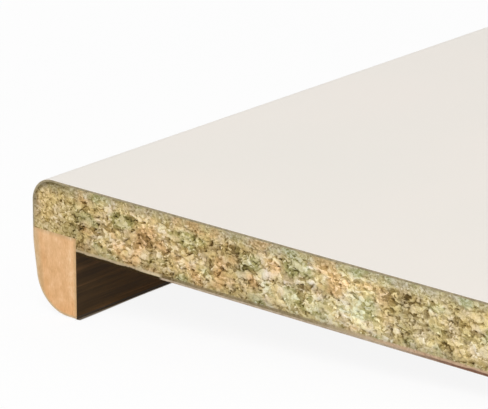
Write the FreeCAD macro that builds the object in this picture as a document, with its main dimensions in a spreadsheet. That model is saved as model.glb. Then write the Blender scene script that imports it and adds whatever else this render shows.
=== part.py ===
# Window sill board: a postformed laminate board with a deep round nose.
#
# Four glued pieces, all of one constant section along the length:
#   chipboard_core    the panel, top front edge milled round, rebated below for the strip
#   nose_strip        the MDF strip let into the rebate, its face leaning back to a round toe
#   top_laminate      one sheet bent over the top, the front edge, the face and the toe
#   backing_laminate  the balancing sheet under the panel, from the strip to the rear edge
#
# Units are millimetres. Every section is drawn in one plane: u runs from the front
# face towards the wall, v runs up from the top face (so all of the board is below 0).
# The bodies are then laid down as the board rests on a level floor: on the inner arris
# of the nose and on the bottom arris of the rear edge, its top sloping down to the rear.
# X runs along the length, -Y is the room side with the nose, +Z is up, and the origin
# is the middle of the footprint.
import FreeCAD, Part
import math
import os

import Sketcher

doc = FreeCAD.newDocument("window_sill_board")

SIZES = [
    ("board_length", 1000.0, "cut length, along the window"),
    ("board_depth", 250.0, "front face to rear edge"),
    ("core_thickness", 19.0, "chipboard panel"),
    ("laminate_thickness", 0.7, "postformed sheet"),
    ("backing_thickness", 0.6, "balancing sheet under the panel"),
    ("top_radius", 7.7, "outer radius of the front top edge"),
    ("nose_height", 40.0, "top face to the bottom of the nose"),
    ("strip_width", 16.0, "MDF strip, front to back"),
    ("rebate_depth", 4.0, "how far the strip is let into the panel"),
    ("upright_height", 17.0, "top face to where the front starts to lean back"),
    ("break_radius", 40.0, "outer radius between the upright and the leaning face"),
    ("front_lean", 7.5, "degrees that the lower face leans back from upright"),
    ("toe_radius", 12.0, "outer radius at the bottom of the nose"),
]

sheet = doc.addObject("Spreadsheet::Sheet", "Sizes")
for row, (alias, value, note) in enumerate(SIZES, start=1):
    sheet.set(f"A{row}", alias)
    sheet.set(f"B{row}", str(value))
    sheet.setAlias(f"B{row}", alias)
    sheet.set(f"C{row}", note)
doc.recompute()


def cell(alias):
    return f"Sizes.{alias}"


LENGTH = cell("board_length")
DEPTH = cell("board_depth")
CORE = cell("core_thickness")
SKIN = cell("laminate_thickness")
NOSE = cell("nose_height")
UPRIGHT = cell("upright_height")
BREAK = cell("break_radius")
LEAN = cell("front_lean")
TOE = cell("toe_radius")
TOP_ROUND = cell("top_radius")

# Levels below the top face and distances behind the front face, from the cells above.
CORE_FOOT = f"({SKIN} + {CORE})"
BOARD_FOOT = f"({CORE_FOOT} + {cell('backing_thickness')})"
STRIP_HEAD = f"({CORE_FOOT} - {cell('rebate_depth')})"
STRIP_FOOT = f"({NOSE} - {SKIN})"
STRIP_BACK = f"({SKIN} + {cell('strip_width')})"

# The rest pose: the slope of the line under the nose and the rear edge, and the move
# that puts that line on the floor with the footprint centred on the origin.
SLOPE = f"atan(({NOSE} - {BOARD_FOOT}) / ({DEPTH} - {STRIP_BACK}))"
FRONT_REACH = f"({BREAK} * cos({SLOPE}) - {UPRIGHT} * sin({SLOPE}) - {BREAK})"
REST_Y = f"(-({DEPTH} * cos({SLOPE}) + {FRONT_REACH}) / 2)"
REST_Z = f"({DEPTH} * sin({SLOPE}) + {BOARD_FOOT} * cos({SLOPE}))"
REST_POSE = f"placement(vector(0; {REST_Y}; {REST_Z}); rotation(vector(1; 0; 0); -({SLOPE})))"


def number(expression):
    """The value of an expression over the sheet, as a plain number."""
    result = sheet.evalExpression(expression)
    return float(getattr(result, "Value", result))


def point(u, v):
    return FreeCAD.Vector(u, v, 0.0)


def line(start, end):
    return Part.LineSegment(point(*start), point(*end))


def arc(centre, radius, start_angle, end_angle):
    """Counter-clockwise arc, its angles in degrees."""
    circle = Part.Circle(point(*centre), FreeCAD.Vector(0, 0, 1), radius)
    return Part.ArcOfCircle(circle, math.radians(start_angle), math.radians(end_angle))


def on_circle(centre, radius, angle):
    turn = math.radians(angle)
    return (centre[0] + radius * math.cos(turn), centre[1] + radius * math.sin(turn))


def new_body(label):
    """A body lying in the rest pose."""
    body = doc.addObject("PartDesign::Body", label)
    body.Label = label
    body.setExpression("Placement", REST_POSE)
    return body


def section_sketch(body, name):
    """An empty sketch on the body's own YZ plane: u is along Y and v along Z."""
    sketch = body.newObject("Sketcher::SketchObject", name)
    plane = next(item for item in body.Origin.OriginFeatures if item.Role == "YZ_Plane")
    sketch.AttachmentSupport = (plane, [""])
    sketch.MapMode = "FlatFace"
    return sketch


def start_of(curve):
    return (curve, 1)


def end_of(curve):
    return (curve, 2)


def centre_of(curve):
    return (curve, 3)


def sketch_origin():
    return start_of(-1)


def dimension(sketch, name, kind, references, expression):
    """A named constraint that takes its value from the sheet."""
    value = number(expression)
    if kind == "Angle":
        value = math.radians(value)
    index = sketch.addConstraint(Sketcher.Constraint(kind, *references, value))
    sketch.renameConstraint(index, name)
    if kind == "Angle":
        expression = f"({expression}) * 1 deg"
    sketch.setExpression(f"Constraints.{name}", expression)


def behind_front(sketch, name, vertex, expression):
    dimension(sketch, name, "DistanceX", (*sketch_origin(), *vertex), expression)


def below_top(sketch, name, vertex, expression):
    dimension(sketch, name, "DistanceY", (*vertex, *sketch_origin()), expression)


def join(sketch, kind, *pairs):
    """Coincident or tangent joins between the ends of neighbouring curves."""
    for first, second in pairs:
        sketch.addConstraint(Sketcher.Constraint(kind, *first, *second))


def align(sketch, kind, *curves):
    for curve in curves:
        sketch.addConstraint(Sketcher.Constraint(kind, curve))


def on_axis(sketch, vertex, axis):
    """Keeps a vertex on the section's u or v axis."""
    axis_curve = {"u": -1, "v": -2}[axis]
    sketch.addConstraint(Sketcher.Constraint("PointOnObject", *vertex, axis_curve))


def rectangle(body, name, front, rear, head, foot):
    """A rectangle between two depths behind the front and two levels below the top."""
    sketch = section_sketch(body, name)
    near, far = number(front), number(rear)
    high, low = -number(head), -number(foot)
    corners = [(near, high), (near, low), (far, low), (far, high)]
    for index in range(4):
        sketch.addGeometry(line(corners[index], corners[(index + 1) % 4]))
    join(sketch, "Coincident", *((end_of(i), start_of((i + 1) % 4)) for i in range(4)))
    align(sketch, "Vertical", 0, 2)
    align(sketch, "Horizontal", 1, 3)
    behind_front(sketch, "front", start_of(0), front)
    behind_front(sketch, "rear", start_of(2), rear)
    below_top(sketch, "head", start_of(0), head)
    below_top(sketch, "foot", start_of(1), foot)
    return sketch


def extrude(body, kind, name, sketch):
    """A pad or pocket over the whole length, centred on the section plane."""
    feature = body.newObject(f"PartDesign::{kind}", name)
    feature.Profile = sketch
    feature.SideType = "Symmetric"
    feature.setExpression("Length", LENGTH)
    sketch.Visibility = False
    return feature


def nose_face(inset):
    """Corner points of the leaning face and its arcs, set in from the outer surface.

    The break arc hangs from the upright face, the toe arc stands on the nose's foot, and
    the straight leaning face is the line that touches both.
    """
    lean = number(LEAN)
    sine = math.sin(math.radians(lean))
    cosine = math.cos(math.radians(lean))
    break_centre = (number(BREAK), -number(UPRIGHT))
    toe_level = -(number(NOSE) - number(TOE))
    drop = break_centre[1] - toe_level
    reach = number(BREAK) * (1 - cosine) + number(TOE) * cosine
    reach += (drop - (number(BREAK) - number(TOE)) * sine) * sine / cosine
    toe_centre = (reach, toe_level)
    break_radius = number(BREAK) - inset
    toe_radius = number(TOE) - inset
    return {
        "lean_angle": 180 + lean,
        "break_centre": break_centre,
        "break_radius": break_radius,
        "toe_centre": toe_centre,
        "toe_radius": toe_radius,
        "upright_end": on_circle(break_centre, break_radius, 180),
        "lean_head": on_circle(break_centre, break_radius, 180 + lean),
        "lean_foot": on_circle(toe_centre, toe_radius, 180 + lean),
        "toe_end": on_circle(toe_centre, toe_radius, 270),
    }


# chipboard_core: a sawn panel, rebated below the front edge, its top front edge rounded.
core = new_body("chipboard_core")
core_blank = rectangle(core, "core_section", SKIN, DEPTH, SKIN, CORE_FOOT)
extrude(core, "Pad", "core_panel", core_blank)
rebate = rectangle(core, "rebate_section", SKIN, STRIP_BACK, STRIP_HEAD, CORE_FOOT)
rebate_cut = extrude(core, "Pocket", "strip_rebate", rebate)
doc.recompute()


def runs_along_front_top(edge):
    """True for the panel's top front edge, in the body's own frame."""
    middle = edge.CenterOfMass
    skin = number(SKIN)
    return edge.Length > number(LENGTH) / 2 and abs(middle.y - skin) + abs(middle.z + skin) < 1e-6


round_edges = [
    f"Edge{index}"
    for index, edge in enumerate(rebate_cut.Shape.Edges, start=1)
    if runs_along_front_top(edge)
]
nose_round = core.newObject("PartDesign::Fillet", "front_round")
nose_round.Base = (rebate_cut, round_edges)
nose_round.setExpression("Radius", f"{TOP_ROUND} - {SKIN}")

# nose_strip: head in the rebate, back face upright, foot flat, toe and face as bent over.
strip = new_body("nose_strip")
strip_section = section_sketch(strip, "strip_section")
face = nose_face(number(SKIN))
strip_head, strip_foot = -number(STRIP_HEAD), -number(STRIP_FOOT)
strip_front, strip_back = number(SKIN), number(STRIP_BACK)
HEAD, BACK, FOOT, TOE_ARC, LEANING, BREAK_ARC, UPRIGHT_LINE = range(7)
strip_section.addGeometry(line((strip_front, strip_head), (strip_back, strip_head)))
strip_section.addGeometry(line((strip_back, strip_head), (strip_back, strip_foot)))
strip_section.addGeometry(line((strip_back, strip_foot), face["toe_end"]))
strip_section.addGeometry(arc(face["toe_centre"], face["toe_radius"], face["lean_angle"], 270))
strip_section.addGeometry(line(face["lean_foot"], face["lean_head"]))
strip_section.addGeometry(arc(face["break_centre"], face["break_radius"], 180, face["lean_angle"]))
strip_section.addGeometry(line(face["upright_end"], (strip_front, strip_head)))
join(
    strip_section,
    "Coincident",
    (end_of(HEAD), start_of(BACK)),
    (end_of(BACK), start_of(FOOT)),
    (end_of(UPRIGHT_LINE), start_of(HEAD)),
)
join(
    strip_section,
    "Tangent",
    (end_of(FOOT), end_of(TOE_ARC)),
    (start_of(TOE_ARC), start_of(LEANING)),
    (end_of(LEANING), end_of(BREAK_ARC)),
    (start_of(BREAK_ARC), start_of(UPRIGHT_LINE)),
)
align(strip_section, "Horizontal", HEAD, FOOT)
align(strip_section, "Vertical", BACK, UPRIGHT_LINE)
behind_front(strip_section, "front", start_of(HEAD), SKIN)
behind_front(strip_section, "back", start_of(BACK), STRIP_BACK)
below_top(strip_section, "head", start_of(HEAD), STRIP_HEAD)
below_top(strip_section, "foot", end_of(BACK), STRIP_FOOT)
below_top(strip_section, "upright", start_of(UPRIGHT_LINE), UPRIGHT)
dimension(strip_section, "break_arc", "Radius", (BREAK_ARC,), f"{BREAK} - {SKIN}")
dimension(strip_section, "toe_arc", "Radius", (TOE_ARC,), f"{TOE} - {SKIN}")
dimension(strip_section, "lean", "Angle", (*start_of(UPRIGHT_LINE), *start_of(LEANING)), LEAN)
extrude(strip, "Pad", "strip_length", strip_section)

# top_laminate: the outer chain from the rear edge to the inner arris of the nose, and the
# same chain one thickness further in. Only the thickness at the rear edge is dimensioned:
# shared arc centres and tangents carry it all the way round.
skin = new_body("top_laminate")
skin_section = section_sketch(skin, "laminate_section")
top_centre = (number(TOP_ROUND), -number(TOP_ROUND))
rear = number(DEPTH)
chains = []
for inset in (0.0, number(SKIN)):
    face = nose_face(inset)
    top_arc_radius = number(TOP_ROUND) - inset
    top_start = on_circle(top_centre, top_arc_radius, 90)
    top_end = on_circle(top_centre, top_arc_radius, 180)
    curves = [
        line((rear, -inset), top_start),
        arc(top_centre, top_arc_radius, 90, 180),
        line(top_end, face["upright_end"]),
        arc(face["break_centre"], face["break_radius"], 180, face["lean_angle"]),
        line(face["lean_head"], face["lean_foot"]),
        arc(face["toe_centre"], face["toe_radius"], face["lean_angle"], 270),
        line(face["toe_end"], (strip_back, face["toe_end"][1])),
    ]
    chain = [skin_section.addGeometry(curve) for curve in curves]
    join(skin_section, "Tangent", *((end_of(a), start_of(b)) for a, b in zip(chain, chain[1:])))
    align(skin_section, "Horizontal", chain[0], chain[6])
    align(skin_section, "Vertical", chain[2])
    chains.append(chain)
outer, inner = chains
rear_end = skin_section.addGeometry(line((rear, 0.0), (rear, -number(SKIN))))
lip_end = skin_section.addGeometry(
    line((strip_back, -number(NOSE)), (strip_back, -number(STRIP_FOOT)))
)
join(
    skin_section,
    "Coincident",
    (start_of(outer[0]), start_of(rear_end)),
    (start_of(inner[0]), end_of(rear_end)),
    (end_of(outer[6]), start_of(lip_end)),
    (end_of(inner[6]), end_of(lip_end)),
    *((centre_of(outer[i]), centre_of(inner[i])) for i in (1, 3, 5)),
)
align(skin_section, "Vertical", rear_end, lip_end)
skin_section.addConstraint(Sketcher.Constraint("Parallel", outer[4], inner[4]))
on_axis(skin_section, start_of(outer[0]), "u")
on_axis(skin_section, start_of(outer[2]), "v")
behind_front(skin_section, "depth", start_of(outer[0]), DEPTH)
behind_front(skin_section, "lip", end_of(outer[6]), STRIP_BACK)
below_top(skin_section, "thickness", end_of(rear_end), SKIN)
below_top(skin_section, "upright", end_of(outer[2]), UPRIGHT)
below_top(skin_section, "foot", start_of(lip_end), NOSE)
dimension(skin_section, "top_arc", "Radius", (outer[1],), TOP_ROUND)
dimension(skin_section, "break_arc", "Radius", (outer[3],), BREAK)
dimension(skin_section, "toe_arc", "Radius", (outer[5],), TOE)
dimension(skin_section, "lean", "Angle", (*start_of(outer[2]), *start_of(outer[4])), LEAN)
extrude(skin, "Pad", "laminate_length", skin_section)

# backing_laminate: flush with the strip's back face and with the rear edge.
backing = new_body("backing_laminate")
backing_section = rectangle(backing, "backing_section", STRIP_BACK, DEPTH, CORE_FOOT, BOARD_FOOT)
extrude(backing, "Pad", "backing_length", backing_section)

doc.recompute()

for item in doc.Objects:
    if "Invalid" in item.State or "Error" in item.State:
        raise RuntimeError(f"{item.Label} did not compute: {item.State}")
for item in doc.Objects:
    if item.isDerivedFrom("Sketcher::SketchObject"):
        if item.solve() != 0 or not item.FullyConstrained:
            raise RuntimeError(f"{item.Label} is not fully constrained")

os.makedirs("parts", exist_ok=True)
for body in (core, strip, skin, backing):
    shape = body.Shape
    if shape.isNull() or not shape.isValid() or len(shape.Solids) != 1:
        raise RuntimeError(f"{body.Label} is not one valid solid")
    shape.exportStep(f"parts/{body.Label}.step")
    box = shape.BoundBox
    print(
        f"{body.Label}: volume {shape.Volume / 1000:.1f} cm3,"
        f" y {box.YMin:.3f} to {box.YMax:.3f}, z {box.ZMin:.3f} to {box.ZMax:.3f}"
    )
print(f"rest slope {number(SLOPE):.4f} deg, moved by y {number(REST_Y):.4f}, z {number(REST_Z):.4f}")
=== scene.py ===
import math

import bpy
import numpy as np
from mathutils import Matrix, Vector


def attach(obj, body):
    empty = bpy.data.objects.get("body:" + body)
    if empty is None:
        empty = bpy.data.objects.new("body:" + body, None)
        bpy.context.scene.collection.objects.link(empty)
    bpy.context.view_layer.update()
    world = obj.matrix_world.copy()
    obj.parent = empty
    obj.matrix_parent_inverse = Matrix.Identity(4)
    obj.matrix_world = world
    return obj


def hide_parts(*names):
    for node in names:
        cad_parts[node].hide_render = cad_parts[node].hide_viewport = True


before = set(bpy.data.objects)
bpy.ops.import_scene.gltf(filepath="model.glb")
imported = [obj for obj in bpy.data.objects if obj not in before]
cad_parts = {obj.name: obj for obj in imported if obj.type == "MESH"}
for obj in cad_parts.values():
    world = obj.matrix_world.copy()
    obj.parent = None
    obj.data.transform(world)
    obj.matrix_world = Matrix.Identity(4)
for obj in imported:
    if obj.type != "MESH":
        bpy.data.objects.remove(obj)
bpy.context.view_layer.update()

# Sizes of the board in millimetres, as in the CAD part. Every section is drawn with u
# from the front face towards the wall and v up from the top face; x is along the length.
LENGTH = 1000.0
DEPTH = 250.0
CORE = 19.0
SKIN = 0.7
BACKING = 0.6
TOP_RADIUS = 7.7
NOSE = 40.0
STRIP_WIDTH = 16.0
REBATE = 4.0
UPRIGHT = 17.0
BREAK_RADIUS = 40.0
LEAN = math.radians(7.5)
TOE_RADIUS = 12.0
DECOR = 0.12  # the white paper layer on the brown core of the laminate

HALF = LENGTH / 2
CORE_FOOT = SKIN + CORE
BOARD_FOOT = CORE_FOOT + BACKING
STRIP_HEAD = CORE_FOOT - REBATE
STRIP_FOOT = NOSE - SKIN
STRIP_BACK = SKIN + STRIP_WIDTH

# The rest pose: the board lies on the nose's inner arris and on its rear bottom arris.
SLOPE = math.atan((NOSE - BOARD_FOOT) / (DEPTH - STRIP_BACK))
SLOPE_COS, SLOPE_SIN = math.cos(SLOPE), math.sin(SLOPE)
FRONT_REACH = BREAK_RADIUS * SLOPE_COS - UPRIGHT * SLOPE_SIN - BREAK_RADIUS
REST_Y = -(DEPTH * SLOPE_COS + FRONT_REACH) / 2
REST_Z = DEPTH * SLOPE_SIN + BOARD_FOOT * SLOPE_COS
MM = 0.001


def to_row(points):
    """Section points (x, u, v) in mm to the row frame in metres, at rest."""
    points = np.asarray(points, float)
    x, u, v = points[..., 0], points[..., 1], points[..., 2]
    y = u * SLOPE_COS + v * SLOPE_SIN + REST_Y
    z = -u * SLOPE_SIN + v * SLOPE_COS + REST_Z
    return np.stack([x, y, z], -1) * MM


def turn_to_row(direction):
    """A direction in section axes turned into the row frame."""
    x, u, v = direction
    return Vector((x, u * SLOPE_COS + v * SLOPE_SIN, -u * SLOPE_SIN + v * SLOPE_COS))


# Node helpers, used by the materials and by the relief of the sawn faces.


class Nodes:
    """Adds nodes to a shader or geometry tree and links them."""

    def __init__(self, tree):
        self.tree = tree

    def add(self, kind, inputs=None, **settings):
        node = self.tree.nodes.new(kind)
        for name, value in settings.items():
            setattr(node, name, value)
        for key, value in (inputs or {}).items():
            self.feed(node.inputs[key], value)
        return node

    def feed(self, socket, value):
        if isinstance(value, bpy.types.NodeSocket):
            self.tree.links.new(value, socket)
        else:
            socket.default_value = value

    def math(self, operation, *values, clamp=False):
        inputs = dict(enumerate(values))
        node = self.add("ShaderNodeMath", inputs, operation=operation, use_clamp=clamp)
        return node.outputs[0]

    def times(self, first, *others):
        """Product of numbers."""
        for other in others:
            first = self.math("MULTIPLY", first, other)
        return first

    def largest(self, first, *others):
        for other in others:
            first = self.math("MAXIMUM", first, other)
        return first

    def vector_node(self, operation, *values):
        return self.add("ShaderNodeVectorMath", dict(enumerate(values)), operation=operation)

    def shift(self, vector, way):
        return self.vector_node("ADD", vector, way).outputs[0]

    def offset(self, vector, start):
        """The way from a start to a place."""
        return self.vector_node("SUBTRACT", vector, start).outputs[0]

    def stretch(self, vector, factors):
        return self.vector_node("MULTIPLY", vector, factors).outputs[0]

    def scaled(self, vector, factor):
        node = self.add("ShaderNodeVectorMath", {0: vector, "Scale": factor}, operation="SCALE")
        return node.outputs[0]

    def dot(self, first, second):
        return self.vector_node("DOT_PRODUCT", first, second).outputs["Value"]

    def length(self, vector):
        return self.vector_node("LENGTH", vector).outputs["Value"]

    def parts(self, vector):
        return self.add("ShaderNodeSeparateXYZ", {0: vector}).outputs

    def blend(self, factor, first, second):
        """Plain number between two numbers."""
        node = self.add("ShaderNodeMix", {0: factor, 2: first, 3: second}, data_type="FLOAT")
        return node.outputs[0]

    def fade(self, value, low, high, start=0.0, end=1.0):
        """Smooth step of a value from low to high, giving start to end."""
        node = self.add(
            "ShaderNodeMapRange",
            {"Value": value, "From Min": low, "From Max": high, "To Min": start, "To Max": end},
            interpolation_type="SMOOTHSTEP",
        )
        return node.outputs["Result"]

    def between(self, value, rise, fall):
        """Smooth hump of a value: up from zero along the rise, back to zero along the fall."""
        return self.times(self.fade(value, *rise), self.fade(value, *reversed(fall)))

    def noise(self, vector, scale, detail=2.0, roughness=0.5, output="Fac"):
        node = self.add(
            "ShaderNodeTexNoise",
            {"Vector": vector, "Scale": scale, "Detail": detail, "Roughness": roughness},
            noise_dimensions="3D",
        )
        return node.outputs[output]

    def cells(self, vector, feature="F1"):
        return self.add("ShaderNodeTexVoronoi", {"Vector": vector, "Scale": 1.0}, feature=feature)

    def ramp(self, factor, stops):
        """Colour ramp through (position, linear colour) stops."""
        node = self.add("ShaderNodeValToRGB", {"Fac": factor})
        elements = node.color_ramp.elements
        while len(elements) < len(stops):
            elements.new(0.5)
        for element, (position, colour) in zip(elements, stops):
            element.position = position
            element.color = (*colour, 1.0)
        return node.outputs["Color"]

    def mix(self, factor, first, second, blend="MIX"):
        node = self.add("ShaderNodeMix", data_type="RGBA", blend_type=blend)
        sockets = [s for s in node.inputs if s.enabled]
        for socket, value in zip(sockets, (factor, first, second)):
            if isinstance(value, tuple) and len(value) == 3:
                value = (*value, 1.0)
            self.feed(socket, value)
        return next(s for s in node.outputs if s.enabled)

    def tint(self, colour, factors):
        return self.mix(1.0, colour, factors, "MULTIPLY")

    def tint_where(self, mask, colour, factors):
        return self.mix(mask, colour, self.tint(colour, factors))


def srgb(red, green, blue):
    """A colour as seen in a picture, 0 to 255, as linear values."""
    values = []
    for channel in (red, green, blue):
        c = channel / 255
        values.append(c / 12.92 if c <= 0.04045 else ((c + 0.055) / 1.055) ** 2.4)
    return tuple(values)


SECTION = "section_mm"  # point attribute: (x, u, v) of the undisturbed surface
NOISE_RANGE = (0.3, 0.7)  # what most of a noise lies between


def material(name, roughness=None, specular=None, specular_tint=None):
    """A plain material with its node helper, surface shader and section coordinates."""
    made = bpy.data.materials.new(name)
    made.use_nodes = True
    nodes = Nodes(made.node_tree)
    shader = next(n for n in made.node_tree.nodes if n.type == "BSDF_PRINCIPLED")
    plain = {
        "Roughness": roughness,
        "Specular IOR Level": specular,
        "Specular Tint": specular_tint,
    }
    for socket, value in plain.items():
        if value is not None:
            shader.inputs[socket].default_value = value
    place = nodes.add("ShaderNodeAttribute", attribute_name=SECTION).outputs["Vector"]
    return made, nodes, shader, place


def dress(nodes, shader, colour, height, depth, strength):
    """Gives a shader its colour and a bump that is so many mm deep."""
    nodes.feed(shader.inputs["Base Color"], colour)
    inputs = {"Height": height, "Distance": depth * MM, "Strength": strength}
    bump = nodes.add("ShaderNodeBump", inputs)
    nodes.feed(shader.inputs["Normal"], bump.outputs["Normal"])


# Chipboard: a solid texture of packed flakes, so that ends and rear edge belong together.

CHIP_TONES = [
    (0.00, srgb(87, 67, 33)),
    (0.12, srgb(126, 105, 60)),
    (0.30, srgb(165, 143, 96)),
    (0.50, srgb(194, 173, 126)),
    (0.70, srgb(217, 196, 151)),
    (0.88, srgb(235, 216, 176)),
    (1.00, srgb(247, 233, 201)),
]
MEAN_TONE = 0.62

# Flakes, crumbs and lumps in cells per mm along x, u and v.
COARSE_FLAKES = (0.22, 0.23, 0.50)
MEDIUM_FLAKES = (0.52, 0.56, 0.95)
FINE_CRUMBS = (1.4, 1.5, 2.0)
SLIVERS = (0.13, 0.14, 0.75)
LUMPS = (0.85, 0.85, 1.15)
GRAIN = (1.0, 1.2, 2.6)
MID_GREY = (0.5, 0.5, 0.5)
SLOW_BEND = 2.4  # how far the cells are bent out of shape, mm
QUICK_BEND = 0.6
RAGGED_DUST = 1.4  # how far single chips stand into the dust, mm
WHOLE_SHARE = 0.26  # of the coarse cells, those that show as whole flakes
SLIVER_SHARE = 0.10  # of the slivers, those that show
CRUMBLED_ABOVE = (0.82, 0.68)  # draws above this show as crumbs, at the front and the rear
FLAKE_CONTRAST = (0.71, 0.64)  # at the front and the rear
CRUMB_CONTRAST = 1.1
SLIVER_CONTRAST = 0.35
SLIVER_TONE = 0.05  # over the mean
SLIVER_STEP = 0.1
SLIVER_SMOOTHNESS = 0.4  # how much fainter the lumps are on slivers
LUMP_CONTRAST = 0.89
PATCH_CONTRAST = 1.45
PATCH_MEAN = 0.522
GRAIN_CONTRAST = 0.13
GRAIN_RANGE = (0.2, 0.8)
CHIP_ROUGHNESS = (0.92, 0.74)  # of the darkest and the palest
PIT_PAINTED_SHADE = (-0.34, -0.21)  # painted shade in the pits, at the front and the rear
PIT_NOISE = (0.49, 0.60)  # from no pit to the deepest
PITS_AT_EDGES = -0.5  # how the distance to a chip's edge counts
FILLED_PITS = 0.6  # share that the dust fills
FILLED_CORNER = 1.4  # how much fuller the corner over the strip is

# Where the slow noises are cut, in mm: pale and dark, green and red, and yellow and grey
# stretches then follow each other along the visible end much as in the photo.
PATCHES_AT = (3263.0, 375.0, -11.0)
TINTS_AT = (2795.0, -372.0, -228.0)
SALLOW_AT = (2579.0, -329.0, -400.0)
PATCH_CELLS = 0.05
TINT_CELLS = (0.12, 0.12, 0.17)
SALLOW_CELLS = (0.06, 0.06, 0.085)

# Values of the noises or the tone between which a tint comes in.
GREEN_HUES = (0.50, 0.34)
RED_HUES = (0.52, 0.68)
ASHEN_DRYNESS = (0.46, 0.34)
STRAW_DRYNESS = (0.42, 0.62)
PALE_SAGE_TONES = (0.35, 0.70)

# Where the panel changes along u or v, in mm, from nothing to the full change. Two pairs
# stand for a change that comes and goes again.
FLAKES_MIDDLE_V = -(SKIN + CORE / 2) - 0.6  # the fine layer is thicker on top
DUST_FROM_MIDDLE = (7.2, 9.4)
NOSE_U = (20.0, 13.0)
REAR_U = (95.0, 130.0)
LIGHTER_PIT_SHADE_U = (85.0, 130.0)
EVEN_HEAD_V = (-4.4, -1.4)
STRIP_CORNER_U = (19.0, 17.0)
STRIP_CORNER_V = (-13.2, -14.8)
REARWARD_U = (50.0, 140.0)
OLIVE_RUN_U = ((118.0, 136.0), (165.0, 200.0))
GREY_HEAD_V = (-4.5, -0.7)
BROWN_FOOT_V = (-15.6, -18.2)
MIDDLE_V = ((-7.0, -9.5), (-11.4, -13.4))
OVER_STRIP_V = (-11.0, -13.5)
CORNER_U = ((9.0, 14.0), (18.0, 23.0))
CORNER_V = (-10.0, -13.0)
BEND_U = (20.0, 7.0)
BEND_V = (-12.0, -7.0)
BEND_RIM = (2.6, 0.9)  # below the laminate's surface

# How strong a change is where it is full, as a share.
NOSE_DUST = 0.8
NOSE_EVENNESS = 0.8  # how much the slow tints and the dim middle keep off the nose
EVEN_HEAD = 0.3
GREY_HEAD_SHARE = 0.62
LESS_RUST = 0.75
BEND_SHADE = 0.56
BEND_SHADE_BELOW = 0.25  # of it, what stays under the bend

# Tints of the chips, as factors on red, green and blue.
FRONT_TINT = (0.995, 0.965, 0.93)
REAR_TINT = (1.05, 1.09, 1.12)
GREY_CAST = (0.99, 1.0, 1.055)
YELLOW_CAST = (1.01, 1.0, 0.945)
DARK_SAGE = (0.82, 0.98, 0.80)
PALE_SAGE = (0.89, 0.985, 0.95)
RUST = (1.09, 0.925, 0.785)
STRAW = (1.02, 1.00, 0.82)
ASHEN = (1.00, 1.00, 1.09)
OLIVE_DUST = (0.90, 0.955, 0.98)
WARM_NOSE = (0.91, 0.895, 0.84)
GREY_HEAD = (0.74, 0.745, 0.82)
BROWN_FOOT = (0.73, 0.725, 0.70)
DIM_MIDDLE = (0.92, 0.92, 0.925)
OVER_STRIP = (0.875, 0.885, 0.81)
DARK_CORNER = (0.77, 0.765, 0.73)


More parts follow.
